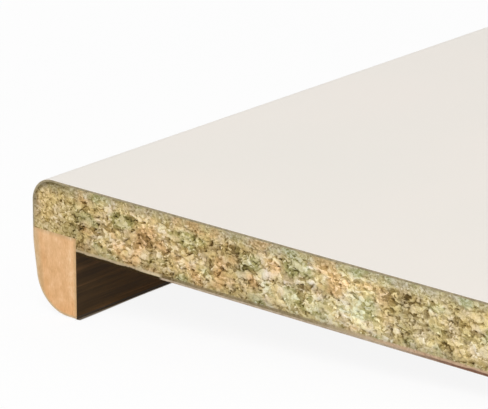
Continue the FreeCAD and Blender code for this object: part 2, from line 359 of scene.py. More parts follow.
def chip_field(nodes, place):
    """Tones and depths of the flakes at a place in the panel."""
    u, v = nodes.parts(place)[1:]
    slow = nodes.offset(nodes.noise(place, 0.33, detail=1.0, output="Color"), MID_GREY)
    quick = nodes.offset(nodes.noise(place, 1.5, roughness=0.6, output="Color"), MID_GREY)
    bent = nodes.shift(place, nodes.scaled(slow, SLOW_BEND))
    bent = nodes.shift(bent, nodes.scaled(quick, QUICK_BEND))
    medium_at = nodes.stretch(bent, MEDIUM_FLAKES)
    coarse = nodes.cells(nodes.stretch(bent, COARSE_FLAKES))
    medium = nodes.cells(medium_at)
    fine = nodes.cells(nodes.stretch(bent, FINE_CRUMBS))
    sliver = nodes.cells(nodes.stretch(bent, SLIVERS))
    edge = nodes.cells(medium_at, "DISTANCE_TO_EDGE").outputs["Distance"]
    coarse_tone, coarse_step, coarse_draw = nodes.parts(coarse.outputs["Color"])
    medium_tone, medium_step, medium_draw = nodes.parts(medium.outputs["Color"])
    fine_tone = nodes.parts(fine.outputs["Color"])[0]
    sliver_tone, _, sliver_draw = nodes.parts(sliver.outputs["Color"])

    # Fine dust towards the two faces and at the nose, whole flakes in the middle, and more
    # crumbs towards the rear.
    off_middle = nodes.math("ABSOLUTE", nodes.math("SUBTRACT", v, FLAKES_MIDDLE_V))
    ragged = nodes.math("MULTIPLY_ADD", medium_draw, RAGGED_DUST, off_middle)
    dust = nodes.fade(ragged, *DUST_FROM_MIDDLE)
    nose = nodes.fade(u, *NOSE_U)
    dusty = nodes.largest(dust, nodes.times(nose, NOSE_DUST))
    sound = nodes.math("SUBTRACT", 1.0, dusty)
    whole = nodes.times(nodes.math("LESS_THAN", coarse_draw, WHOLE_SHARE), sound)
    long = nodes.times(nodes.math("LESS_THAN", sliver_draw, SLIVER_SHARE), sound)
    crumbled_above = nodes.fade(u, *REAR_U, *CRUMBLED_ABOVE)
    crumb = nodes.math("GREATER_THAN", nodes.math("ADD", medium_draw, dusty), crumbled_above)

    body = nodes.math("SUBTRACT", nodes.blend(whole, medium_tone, coarse_tone), 0.5)
    crumbs = nodes.times(nodes.math("SUBTRACT", fine_tone, 0.5), CRUMB_CONTRAST)
    body = nodes.blend(crumb, body, crumbs)
    slivers = nodes.math("MULTIPLY_ADD", sliver_tone, SLIVER_CONTRAST, SLIVER_TONE)
    body = nodes.blend(long, body, slivers)
    lumps = nodes.noise(nodes.stretch(bent, LUMPS), 0.8, detail=3.0, roughness=0.6)
    lumps = nodes.math("SUBTRACT", lumps, 0.5)
    lumps = nodes.times(lumps, nodes.math("MULTIPLY_ADD", long, -SLIVER_SMOOTHNESS, 1.0))
    patches = nodes.noise(nodes.shift(place, PATCHES_AT), PATCH_CELLS, detail=3.0, roughness=0.6)
    patches = nodes.times(nodes.math("SUBTRACT", patches, PATCH_MEAN), sound)
    flake_contrast = nodes.fade(u, *REAR_U, *FLAKE_CONTRAST)
    tone = nodes.math("MULTIPLY_ADD", body, flake_contrast, MEAN_TONE)
    tone = nodes.math("MULTIPLY_ADD", lumps, LUMP_CONTRAST, tone)
    tone = nodes.math("MULTIPLY_ADD", patches, PATCH_CONTRAST, tone)
    tone = nodes.blend(nodes.fade(v, *EVEN_HEAD_V, 0.0, EVEN_HEAD), tone, MEAN_TONE)

    # Open pits: ragged, sharp where they follow the edges of the chips, and rare in the dust
    # and in the corner over the strip.
    deep = nodes.noise(bent, 0.62, detail=3.0, roughness=0.62)
    deep = nodes.math("MULTIPLY_ADD", edge, PITS_AT_EDGES, deep)
    by_strip = nodes.times(nodes.fade(v, *STRIP_CORNER_V), nodes.fade(u, *STRIP_CORNER_U))
    filled = nodes.largest(dusty, nodes.times(by_strip, FILLED_CORNER))
    open_share = nodes.math("MULTIPLY_ADD", filled, -FILLED_PITS, 1.0)
    pit = nodes.times(nodes.fade(deep, *PIT_NOISE), open_share)
    lean = nodes.offset(medium_at, medium.outputs["Position"])
    tilt = nodes.dot(lean, nodes.offset(medium.outputs["Color"], MID_GREY))
    return {
        "tone": tone,
        "pit": pit,
        "tilt": tilt,
        "step": nodes.blend(long, nodes.blend(whole, medium_step, coarse_step), SLIVER_STEP),
        "sound": sound,
        "dust": dust,
        "nose": nose,
        "bent": bent,
    }


def tint_stretches(nodes, place, colour, tone, off_nose):
    """Slow changes of tint along the panel; the green and the red keep off the nose."""
    u = nodes.parts(place)[1]
    rearward = nodes.mix(nodes.fade(u, *REARWARD_U), FRONT_TINT, REAR_TINT)
    colour = nodes.tint(colour, rearward)
    hue = nodes.noise(nodes.stretch(nodes.shift(place, TINTS_AT), TINT_CELLS), 1.0, roughness=0.4)
    sallow = nodes.noise(nodes.stretch(nodes.shift(place, SALLOW_AT), SALLOW_CELLS), 1.0)
    cast = nodes.mix(nodes.fade(sallow, *NOISE_RANGE), GREY_CAST, YELLOW_CAST)
    colour = nodes.tint(colour, cast)
    mint = nodes.mix(nodes.fade(tone, *PALE_SAGE_TONES), DARK_SAGE, PALE_SAGE)
    sage, rust, straw, ashen = (nodes.tint(colour, t) for t in (mint, RUST, STRAW, ASHEN))
    dryness = nodes.noise(place, 0.25)
    colour = nodes.mix(nodes.fade(dryness, *ASHEN_DRYNESS), colour, ashen)
    colour = nodes.mix(nodes.fade(dryness, *STRAW_DRYNESS), colour, straw)
    green = nodes.times(nodes.fade(hue, *GREEN_HUES), off_nose)
    colour = nodes.mix(green, colour, sage)
    less_rust = nodes.math("MULTIPLY_ADD", nodes.between(u, *OLIVE_RUN_U), -LESS_RUST, 1.0)
    rusty = nodes.times(nodes.fade(hue, *RED_HUES), off_nose, less_rust)
    return nodes.mix(rusty, colour, rust)


def tint_layers(nodes, place, colour, chips, off_nose):
    """Tints of the pressed layers, the nose and the corner of the rebate."""
    u, v = nodes.parts(place)[1:]
    colour = nodes.tint_where(chips["dust"], colour, OLIVE_DUST)
    colour = nodes.tint_where(chips["nose"], colour, WARM_NOSE)
    grey_head = nodes.tint(colour, GREY_HEAD)
    brown_foot = nodes.tint(colour, BROWN_FOOT)
    colour = nodes.mix(nodes.fade(v, *GREY_HEAD_V, 0.0, GREY_HEAD_SHARE), colour, grey_head)
    colour = nodes.mix(nodes.fade(v, *BROWN_FOOT_V), colour, brown_foot)
    middle = nodes.times(nodes.between(v, *MIDDLE_V), off_nose)
    colour = nodes.tint_where(middle, colour, DIM_MIDDLE)
    over_strip = nodes.times(nodes.fade(v, *OVER_STRIP_V), chips["nose"])
    colour = nodes.tint_where(over_strip, colour, OVER_STRIP)
    corner = nodes.times(nodes.between(u, *CORNER_U), nodes.fade(v, *CORNER_V))
    return nodes.tint_where(corner, colour, DARK_CORNER)


def shade_bend(nodes, place, colour):
    """Pressed darker under the bend of the laminate."""
    u, v = nodes.parts(place)[1:]
    across = nodes.largest(nodes.math("SUBTRACT", TOP_RADIUS, u), 0.0)
    up = nodes.largest(nodes.math("ADD", v, TOP_RADIUS), 0.0)
    from_centre = nodes.length(nodes.add("ShaderNodeCombineXYZ", {0: across, 1: up}).outputs[0])
    rim = nodes.fade(nodes.math("SUBTRACT", TOP_RADIUS, from_centre), *BEND_RIM, 0.0, BEND_SHADE)
    below = nodes.fade(v, *BEND_V, BEND_SHADE_BELOW, 1.0)
    rim = nodes.times(rim, nodes.fade(u, *BEND_U), below)
    return nodes.mix(rim, colour, (0.0, 0.0, 0.0))


# The foot of the sawn end, in mm along u or v. The backing's edge has painted shade, dark from
# the strip to where the shade ends, and a red stain at the rear.
PAINTED_SHADE_END_U = (48.0, 49.5)
PAINTED_SHADE_TIP_U = ((37.0, 46.0), (60.0, 70.0))
SHADE_AND_STAIN_V = (-19.47, -19.72)
SHADE_AND_STAIN_CREEP = (-0.20, 0.04)
PAINTED_SHADE_LIFT = 0.32  # how much lower the painted shade starts by its tip
REAR_STAIN_U = (134.0, 150.0)
GLUE_V = (-18.6, -19.1)
DARK_GLUE_U = ((47.9, 49.9), (95.0, 125.0))
DARKEST_GLUE_U = (50.5, 57.0)
GLUE_SHARE = 0.8
REAR_GLUE_U = (110.0, 140.0)


def glue_shade_and_stain_foot(nodes, place, colour):
    """A glue line over the backing, dark in the middle, and below it painted shade by the strip
    and the backing's red stain at the rear.
    """
    u, v = nodes.parts(place)[1:]
    by_tip = nodes.between(u, *PAINTED_SHADE_TIP_U)
    pale_glue = nodes.mix(by_tip, srgb(190, 170, 138), srgb(214, 197, 162))
    pale_glue = nodes.mix(nodes.fade(u, *REAR_GLUE_U), pale_glue, srgb(198, 163, 136))
    dark_glue = nodes.mix(nodes.fade(u, *DARKEST_GLUE_U), srgb(88, 68, 34), srgb(128, 111, 80))
    glue = nodes.mix(nodes.between(u, *DARK_GLUE_U), pale_glue, dark_glue)
    colour = nodes.mix(nodes.fade(v, *GLUE_V, 0.0, GLUE_SHARE), colour, glue)
    creep = nodes.noise(nodes.stretch(place, (0.2, 0.2, 0.0)), 1.0)
    crept = nodes.math("ADD", v, nodes.fade(creep, *NOISE_RANGE, *SHADE_AND_STAIN_CREEP))
    crept = nodes.math("MULTIPLY_ADD", by_tip, PAINTED_SHADE_LIFT, crept)
    # Painted shade on the foot by the strip; the red at the rear is the backing's own stain.
    rear_stain = nodes.fade(u, *REAR_STAIN_U)
    shaded_and_stained = nodes.largest(nodes.fade(u, *reversed(PAINTED_SHADE_END_U)), rear_stain)
    shaded_and_stained = nodes.times(shaded_and_stained, nodes.fade(crept, *SHADE_AND_STAIN_V))
    shade_and_stain = nodes.mix(rear_stain, srgb(60, 45, 22), srgb(128, 98, 82))
    return nodes.mix(shaded_and_stained, colour, shade_and_stain)


def chipboard_material():
    """Sawn ends and rear edge of the panel."""
    made, nodes, shader, place = material("sawn_chipboard", specular=0.25)
    chips = chip_field(nodes, place)
    grain = nodes.noise(nodes.stretch(chips["bent"], GRAIN), 2.0, detail=3.0, roughness=0.65)
    grain_tone = nodes.fade(grain, *GRAIN_RANGE, -GRAIN_CONTRAST, GRAIN_CONTRAST)
    tone = nodes.math("ADD", chips["tone"], grain_tone)
    # Painted shade in the pits, over their real depth.
    pit_shade = nodes.fade(nodes.parts(place)[1], *LIGHTER_PIT_SHADE_U, *PIT_PAINTED_SHADE)
    tone = nodes.math("MULTIPLY_ADD", chips["pit"], pit_shade, tone, clamp=True)
    off_nose = nodes.math("MULTIPLY_ADD", chips["nose"], -NOSE_EVENNESS, 1.0)
    colour = nodes.ramp(tone, CHIP_TONES)
    colour = tint_stretches(nodes, place, colour, tone, off_nose)
    colour = tint_layers(nodes, place, colour, chips, off_nose)
    colour = shade_bend(nodes, place, colour)
    colour = glue_shade_and_stain_foot(nodes, place, colour)
    nodes.feed(shader.inputs["Roughness"], nodes.fade(tone, 0.0, 1.0, *CHIP_ROUGHNESS))
    dress(nodes, shader, colour, grain, depth=0.25, strength=0.7)
    return made


def glued_material():
    """The panel's sanded faces, out of sight under the laminate, the strip and the backing."""
    made, nodes, shader, place = material("glued_chipboard", roughness=0.85)
    dust = nodes.noise(place, 1.2)
    colour = nodes.mix(nodes.fade(dust, *NOISE_RANGE), srgb(178, 155, 110), srgb(186, 164, 118))
    dress(nodes, shader, colour, dust, depth=0.02, strength=0.3)
    return made


MDF_TONES = [
    (0.36, srgb(206, 157, 106)),
    (0.46, srgb(220, 174, 125)),
    (0.54, srgb(229, 186, 139)),
    (0.64, srgb(239, 206, 165)),
]
MDF_STRIPES = (0.2, 0.45, 0.05)
MDF_FIBRES = (1.0, 1.5, 0.35)
FIBRE_SHARE = 0.38
MDF_ORANGE = (1.0, 0.93, 0.84)
MDF_ORANGE_V = (-22.0, -40.0)
MDF_RIM = (0.82, 0.88, 0.91)
MDF_RIM_FRONT = (3.0, 0.9)  # behind the leaning face, mm
MDF_RIM_BACK_U = (15.4, 16.5)
MDF_RIM_HEAD_V = (-17.2, -15.8)


def mdf_material():
    """Sawn end of the strip: upright fibres, more orange below, greyer along its rim."""
    made, nodes, shader, place = material("sawn_mdf", roughness=0.8, specular=0.2)
    u, v = nodes.parts(place)[1:]
    stripes = nodes.noise(nodes.stretch(place, MDF_STRIPES), 1.0, detail=3.0, roughness=0.6)
    fibres = nodes.noise(nodes.stretch(place, MDF_FIBRES), 2.2, detail=3.0, roughness=0.65)
    mottle = nodes.noise(place, 0.32, detail=3.0, roughness=0.6)
    streaks = nodes.blend(0.5, stripes, mottle)
    tone = nodes.math(
        "ADD", nodes.times(streaks, 1.0 - FIBRE_SHARE), nodes.times(fibres, FIBRE_SHARE)
    )
    colour = nodes.ramp(tone, MDF_TONES)
    patches = nodes.fade(nodes.noise(place, 0.14), 0.4, 0.7, 0.0, 0.5)
    low = nodes.math("ADD", nodes.fade(v, *MDF_ORANGE_V, 0.0, 0.7), patches)
    low = nodes.math("MULTIPLY", low, 0.8, clamp=True)
    colour = nodes.tint_where(low, colour, MDF_ORANGE)
    leaning = nodes.largest(nodes.math("SUBTRACT", -UPRIGHT, v), 0.0)
    behind_front = nodes.math("MULTIPLY_ADD", leaning, -math.tan(LEAN), u)
    rim = nodes.largest(
        nodes.fade(behind_front, *MDF_RIM_FRONT),
        nodes.fade(v, *MDF_RIM_HEAD_V),
        nodes.fade(u, *MDF_RIM_BACK_U),
    )
    colour = nodes.tint_where(rim, colour, MDF_RIM)
    dress(nodes, shader, colour, fibres, depth=0.08, strength=0.5)
    return made


# The strip's back: dark tones that are painted shade, with painted light further in.
BACK_SHADE_TONES = [
    (0.38, srgb(38, 24, 7)),
    (0.47, srgb(53, 37, 16)),
    (0.53, srgb(61, 43, 21)),
    (0.62, srgb(84, 60, 36)),
]
BACK_STREAKS = (0.018, 1.0, 0.55)
BACK_PAINTED_LIFT = (2.4, 2.3, 1.9)
BACK_PAINTED_LIFT_FROM = (2.0, 28.0)  # from the sawn ends, mm, over which the painted lift of light comes in
BACK_SHEEN = (1.0, 0.68, 0.38, 1.0)


def painted_shade_back_material():
    """The strip's back in dark tones as painted shade, painted a little paler away from the sawn
    ends, where less light gets.
    """
    made, nodes, shader, place = material(
        "strip_back_painted_shade", roughness=0.6, specular=0.24, specular_tint=BACK_SHEEN
    )
    along = nodes.noise(nodes.stretch(place, BACK_STREAKS), 1.0, detail=4.0, roughness=0.6)
    colour = nodes.ramp(along, BACK_SHADE_TONES)
    # Painted light: paler away from the sawn ends.
    inside = nodes.math("SUBTRACT", HALF, nodes.math("ABSOLUTE", nodes.parts(place)[0]))
    colour = nodes.tint_where(nodes.fade(inside, *BACK_PAINTED_LIFT_FROM), colour, BACK_PAINTED_LIFT)
    dress(nodes, shader, colour, along, depth=0.1, strength=0.5)
    return made


DECOR_ROUGHNESS = (0.40, 0.50)


def decor_material():
    """White paper layer of the laminate, with a fine pearl and hardly any cloud."""
    made, nodes, shader, place = material("white_decor", specular=0.4)
    pearl = nodes.noise(place, 1.6)
    cloud = nodes.noise(place, 0.012)
    colour = nodes.mix(nodes.fade(cloud, *NOISE_RANGE), srgb(233, 226, 218), srgb(230, 225, 217))
    nodes.feed(shader.inputs["Roughness"], nodes.fade(pearl, *NOISE_RANGE, *DECOR_ROUGHNESS))
    dress(nodes, shader, colour, pearl, depth=0.02, strength=0.4)
    return made


STRIP_EDGE_V = (-14.6, -16.6)
SHADED_LIP_U = (STRIP_BACK - 0.06, STRIP_BACK - 0.02)
SHADED_LIP_V = (-39.0, -39.2)


def kraft_material():
    """Cut edge of the laminate: dark beside the panel, paler beside the strip, painted shade on
    the lip.
    """
    made, nodes, shader, place = material("laminate_edge", roughness=0.7)
    u, v = nodes.parts(place)[1:]
    wear = nodes.noise(place, 0.9, detail=3.0, roughness=0.6)
    worn = nodes.fade(wear, *NOISE_RANGE)
    board = nodes.mix(worn, srgb(130, 118, 88), srgb(166, 152, 120))
    strip = nodes.mix(worn, srgb(190, 160, 122), srgb(212, 184, 146))
    colour = nodes.mix(nodes.fade(v, *STRIP_EDGE_V), board, strip)
    # Painted shade on the lip, where it meets the floor.
    lip = nodes.times(nodes.fade(u, *SHADED_LIP_U), nodes.fade(v, *SHADED_LIP_V))
    colour = nodes.mix(lip, colour, srgb(54, 42, 27))
    dress(nodes, shader, colour, wear, depth=0.05, strength=0.4)
    return made


BACKING_FLECKS = (0.25, 0.6, 1.0)
BACKING_PAINTED_SHADE = (0.07, 0.05, 0.02)
BACKING_RED_U = (122.0, 156.0)
BACKING_RUBBED_V = (-20.05, -20.25)
BACKING_SHEEN = (1.0, 0.6, 0.3, 1.0)


def backing_material(name, cut_edge):
    """Brown balancing sheet. Its cut edge has painted shade by the strip, then is pale, then red.
    """
    specular, sheen = (0.12, BACKING_SHEEN) if cut_edge else (0.3, None)
    made, nodes, shader, place = material(
        name, roughness=0.68, specular=specular, specular_tint=sheen
    )
    u, v = nodes.parts(place)[1:]
    fleck = nodes.noise(nodes.stretch(place, BACKING_FLECKS), 0.8, detail=4.0, roughness=0.62)
    spread = nodes.fade(fleck, *NOISE_RANGE)
    colour = nodes.mix(spread, srgb(122, 88, 74), srgb(150, 118, 101))
    if cut_edge:
        rubbed = nodes.mix(spread, srgb(158, 140, 118), srgb(190, 174, 152))
        red = nodes.mix(spread, srgb(104, 72, 58), srgb(130, 96, 80))
        red = nodes.mix(nodes.fade(v, *BACKING_RUBBED_V, 0.0, 0.7), red, rubbed)
        colour = nodes.mix(nodes.fade(u, *BACKING_RED_U), rubbed, red)
        # Painted shade on the cut edge next to the strip.
        shaded_and_stained = nodes.tint(colour, BACKING_PAINTED_SHADE)
        colour = nodes.mix(nodes.fade(u, *PAINTED_SHADE_END_U), shaded_and_stained, colour)
    dress(nodes, shader, colour, fleck, depth=0.03, strength=0.4)
    return made


# Meshes. Points are (x, u, v, s, d) in mm: s runs along a section's outline and d is the
# depth below the laminate's surface, and both serve only to lay out the UV maps.

AXES = "xuvsd"
MAP_NAME = "OFBake"
MAP_SIZE = 1024
MAP_EDGE = 6
MAP_GAP = 8


def bands(*heights):
    """Boxes across the whole UV map, one above the other, in pixels."""
    low = MAP_EDGE
    boxes = []
    for height in heights:
        boxes.append((MAP_EDGE, low, MAP_SIZE - MAP_EDGE, low + height))
        low += height + MAP_GAP
    return boxes


def split(box, count):
    """A box cut into equal boxes side by side."""
    left, low, right, high = box
    wide = (right - left + MAP_GAP) / count
    return [(left + k * wide, low, left + (k + 1) * wide - MAP_GAP, high) for k in range(count)]


def lay_out(points, chart):
    """UV places of points on a chart: its box and, across and up, (axis, from, to)."""
    box, across, up = chart
    places = []
    for k, (axis, first, last) in enumerate((across, up)):
        share = (points[:, AXES.index(axis)] - first) / (last - first)
        places.append(box[k] + share * (box[k + 2] - box[k]))
    return np.stack(places, 1) / MAP_SIZE


def point_vectors(mesh, name, vectors):
    """Keeps a vector for each point of a mesh."""
    attribute = mesh.attributes.new(name, "FLOAT_VECTOR", "POINT")
    attribute.data.foreach_set("vector", vectors.astype(np.float32).ravel())


SHARP = math.radians(30.0)


class MeshBuilder:
    """Collects section points and faces, each with a material index and a chart."""

    def __init__(self, charts):
        self.charts = charts
        self.points = []
        self.faces = []
        self.slots = []
        self.on_chart = []

    def add_points(self, points):
        first = len(self.points)
        for point in points:
            self.points.append(tuple(point) + (0.0,) * (len(AXES) - len(point)))
        return list(range(first, len(self.points)))

    def face(self, corners, chart, slot=0):
        self.faces.append(tuple(corners))
        self.on_chart.append(chart)
        self.slots.append(slot)

    def uv_places(self, points):
        corners = np.concatenate([np.array(f) for f in self.faces])
        chart_of = np.repeat(np.array(self.on_chart), [len(f) for f in self.faces])
        places = np.zeros((len(corners), 2))
        for name, chart in self.charts.items():
            here = chart_of == name
            places[here] = lay_out(points[corners[here]], chart)
        return places

    def build(self, name, materials):
        points = np.array(self.points)
        mesh = bpy.data.meshes.new(name)
        mesh.from_pydata(to_row(points).tolist(), [], self.faces)
        mesh.polygons.foreach_set("material_index", self.slots)
        mesh.polygons.foreach_set("use_smooth", [True] * len(self.faces))
        for made in materials:
            mesh.materials.append(made)
        layer = mesh.uv_layers.new(name=MAP_NAME)
        layer.uv.foreach_set("vector", self.uv_places(points).astype(np.float32).ravel())
        point_vectors(mesh, SECTION, points[:, :3])
        mesh.update()
        mesh.set_sharp_from_angle(angle=SHARP)
        piece = bpy.data.objects.new(name, mesh)
        bpy.context.scene.collection.objects.link(piece)
        return piece


ALONG = ("x", -HALF, HALF)
ARC_STEPS = {"top": 20, "break": 6, "toe": 20}


def arc_points(centre, radius, start, end, count):
    turns = np.radians(np.linspace(start, end, count + 1))
    return [(centre[0] + radius * math.cos(t), centre[1] + radius * math.sin(t)) for t in turns]


def run_lengths(line):
    """How far along a line of (u, v) points each point lies."""
    steps = np.hypot(*np.diff(np.array(line), axis=0).T)
    return np.concatenate([[0.0], np.cumsum(steps)])


def toe_centre():
    drop = NOSE - TOE_RADIUS - UPRIGHT
    reach = BREAK_RADIUS * (1 - math.cos(LEAN)) + TOE_RADIUS * math.cos(LEAN)
    reach += (drop - (BREAK_RADIUS - TOE_RADIUS) * math.sin(LEAN)) * math.tan(LEAN)
    return (reach, -(NOSE - TOE_RADIUS))


def front_line(inset):
    """Points (u, v) from the upright's foot round the toe to the nose's inner arris."""
    lean = math.degrees(LEAN)
    points = arc_points(
        (BREAK_RADIUS, -UPRIGHT), BREAK_RADIUS - inset, 180, 180 + lean, ARC_STEPS["break"]
    )
    points += arc_points(toe_centre(), TOE_RADIUS - inset, 180 + lean, 270, ARC_STEPS["toe"])
    points.append((STRIP_BACK, -(NOSE - inset)))
    return points


def wrap_line(inset):
    """The laminate's line at a depth below its outer surface, rear edge to inner arris."""
    points = [(DEPTH, -inset)]
    points += arc_points(
        (TOP_RADIUS, -TOP_RADIUS), TOP_RADIUS - inset, 90, 180, ARC_STEPS["top"]
    )
    return points + front_line(inset)


def make_laminate(decor, kraft):
    run = run_lengths(wrap_line(0.0))
    around = ("s", 0.0, run[-1])
    layers = {"decor": (0.0, DECOR), "kraft": (DECOR, SKIN)}
    face_boxes = bands(700, 90, 34, 12, 34, 12, 16, 8, 16, 8)
    charts = {
        "outer": (face_boxes[0], ALONG, around),
        "inner": (face_boxes[1], ALONG, around),
    }
    boxes = iter(face_boxes[2:])
    for edge, across in ((1, around), (-1, around), ("rear", ALONG), ("lip", ALONG)):
        for layer in ("kraft", "decor"):
            charts[f"{edge}_{layer}"] = (next(boxes), across, ("d", *layers[layer]))

    builder = MeshBuilder(charts)
    ends = {}
    for side in (1, -1):
        for inset in (0.0, DECOR, SKIN):
            ends[side, inset] = builder.add_points(
                [(side * HALF, u, v, s, inset) for (u, v), s in zip(wrap_line(inset), run)]
            )
    last = len(run) - 1
    for i in range(last):
        near, far = ends[1, 0.0], ends[-1, 0.0]
        builder.face((near[i], far[i], far[i + 1], near[i + 1]), "outer", 0)
        near, far = ends[1, SKIN], ends[-1, SKIN]
        builder.face((near[i], near[i + 1], far[i + 1], far[i]), "inner", 1)
    for slot, (layer, (outer, inner)) in enumerate(layers.items()):
        for side in (1, -1):
            a, b = ends[side, outer], ends[side, inner]
            for i in range(last):
                quad = (a[i], a[i + 1], b[i + 1], b[i])
                builder.face(quad[::side], f"{side}_{layer}", slot)
        # The lip's white layer takes the edge material too, which gives it the lip's painted
        # shade.
        for i, edge, turn, look in ((0, "rear", -1, slot), (last, "lip", 1, 1)):
            quad = (ends[1, outer][i], ends[-1, outer][i], ends[-1, inner][i], ends[1, inner][i])
            builder.face(quad[::turn], f"{edge}_{layer}", look)
    return builder.build("laminate_sheet", [decor, kraft])


def make_strip(mdf, dark):
    outline = [(SKIN, -STRIP_HEAD)] + front_line(SKIN) + [(STRIP_BACK, -STRIP_HEAD)]
    run = run_lengths(outline)
    wide = ("u", 0.0, STRIP_BACK)
    tall = ("v", -STRIP_FOOT, -STRIP_HEAD)
    end_box, back_box, front_box, head_box = bands(460, 230, 180, 60)
    near_box, far_box = split(end_box, 3)[:2]
    charts = {
        "near": (near_box, wide, tall),
        "far": (far_box, wide, tall),
        "back": (back_box, ALONG, tall),
        "front": (front_box, ALONG, ("s", 0.0, run[-1])),
        "head": (head_box, ALONG, wide),
    }
    builder = MeshBuilder(charts)
    near = builder.add_points([(HALF, u, v, s) for (u, v), s in zip(outline, run)])
    far = builder.add_points([(-HALF, u, v, s) for (u, v), s in zip(outline, run)])
    count = len(outline)
    builder.face(near, "near")
    builder.face(far[::-1], "far")
    for i in range(count):
        j = (i + 1) % count
        chart = {count - 2: "back", count - 1: "head"}.get(i, "front")
        builder.face((near[i], far[i], far[j], near[j]), chart, 1 if chart == "back" else 0)
    return builder.build("mdf_strip", [mdf, dark])


def make_backing(brown, edge):
    deep = ("u", STRIP_BACK, DEPTH)
    tall = ("v", -BOARD_FOOT, -CORE_FOOT)
    under, upper, *edges = bands(620, 120, 60, 60, 60, 30)
    sides = ("near", "rear", "far", "front")
    charts = {"under": (under, ALONG, deep), "upper": (upper, ALONG, deep)}
    for name, box, across in zip(sides, edges, (deep, ALONG) * 2):
        charts[name] = (box, across, tall)
    builder = MeshBuilder(charts)
    corners = [(HALF, STRIP_BACK), (HALF, DEPTH), (-HALF, DEPTH), (-HALF, STRIP_BACK)]
    top = builder.add_points([(x, u, -CORE_FOOT) for x, u in corners])
    foot = builder.add_points([(x, u, -BOARD_FOOT) for x, u in corners])
    builder.face(top, "upper")
    builder.face(foot[::-1], "under")
    for i, name in enumerate(sides):
        j = (i + 1) % len(sides)
        builder.face((top[i], foot[i], foot[j], top[j]), name, 1)
    return builder.build("backing_sheet", [brown, edge])


END_STEP = 1 / 3  # grid on the sawn ends, mm
FULL_ROWS = round(CORE / END_STEP)
SHORT_ROWS = round((STRIP_HEAD - SKIN) / END_STEP)  # over the strip
REAR_STEP = 2.0  # grid along the rear edge, mm
REAR_ROWS = 19
REAR_CHARTS = 4
CORNER_STEPS = 18
RELIEF = "relief"  # point attribute: the way in for points that take the chip relief
TILT_DEPTH = 1.1  # how deep the relief goes, mm
STEP_DEPTH = 0.24
PIT_DEPTH = 0.7


def core_columns():
    """(u, top v, foot v) of each grid column on the panel's end, and the shoulder's number."""
    columns = []
    centre = (TOP_RADIUS, -TOP_RADIUS)
    for u, v in arc_points(centre, TOP_RADIUS - SKIN, 180, 90, CORNER_STEPS):
        columns.append((u, v, -STRIP_HEAD))
    for start, end, foot in ((TOP_RADIUS, STRIP_BACK, STRIP_HEAD), (STRIP_BACK, DEPTH, CORE_FOOT)):
        shoulder = len(columns) - 1
        steps = round((end - start) / END_STEP)
        for k in range(1, steps + 1):
            columns.append((start + k * (end - start) / steps, -SKIN, -foot))
    return columns, shoulder


def core_charts():
    *faces, hidden = bands(150, 150, 150, 150, 150, 150, 60)
    deep = ("u", 0.0, DEPTH)
    tall = ("v", -CORE_FOOT, -SKIN)
    charts = {1: (faces[0], deep, tall), -1: (faces[1], deep, tall)}
    stretch = LENGTH / REAR_CHARTS
    for k in range(REAR_CHARTS):
        start = HALF - k * stretch
        charts[f"rear_{k}"] = (faces[2 + k], ("x", start, start - stretch), tall)
    covered = dict.fromkeys(("top", "foot", "head"), deep)
    covered.update(dict.fromkeys(("front", "shoulder", "round"), tall))
    for box, (name, up) in zip(split(hidden, len(covered)), covered.items()):
        charts[name] = (box, ALONG, up)
    return {str(name): chart for name, chart in charts.items()}


def end_grid(builder, columns, shoulder, side, inward):
    """Columns of points on a sawn end with their faces; inward gets the inner points' way in."""
    last = len(columns) - 1
    grid = []
    for c, (u, top, foot) in enumerate(columns):
        if c < shoulder:
            rows = [top + (foot - top) * j / SHORT_ROWS for j in range(SHORT_ROWS + 1)]
        else:
            rows = [-SKIN - j * END_STEP for j in range(FULL_ROWS + 1)]
        grid.append(builder.add_points([(side * HALF, u, v) for v in rows]))
    for c in range(last):
        for j in range(SHORT_ROWS if c < shoulder else FULL_ROWS):
            quad = (grid[c][j], grid[c][j + 1], grid[c + 1][j + 1], grid[c + 1][j])
            builder.face(quad[::side], str(side))
    for c in range(1, last):
        for i in grid[c][1 : SHORT_ROWS if c <= shoulder else FULL_ROWS]:
            inward[i] = (-side, 0.0, 0.0)
    return grid


def rear_grid(builder, near_edge, far_edge, inward):
    """Columns of points along the rear edge, joined to the finer rows of the two ends."""
    every = FULL_ROWS // REAR_ROWS
    spans = round(LENGTH / REAR_STEP)
    levels = [-SKIN - j * CORE / REAR_ROWS for j in range(REAR_ROWS + 1)]
    grid = [near_edge[::every]]
    for k in range(1, spans):
        x = HALF - k * LENGTH / spans
        grid.append(builder.add_points([(x, DEPTH, v) for v in levels]))
        for i in grid[k][1:-1]:
            inward[i] = tuple(turn_to_row((0, -1, 0)))
    grid.append(far_edge[::every])
    for k in range(spans):
        for j in range(REAR_ROWS):
            face = [grid[k][j], grid[k][j + 1], grid[k + 1][j + 1], grid[k + 1][j]]
            finer = slice(j * every, (j + 1) * every + 1)
            if k == 0:
                face = near_edge[finer] + face[2:]
            elif k == spans - 1:
                face = face[:2] + far_edge[finer][::-1]
            builder.face(face, f"rear_{k * REAR_CHARTS // spans}")
    return grid


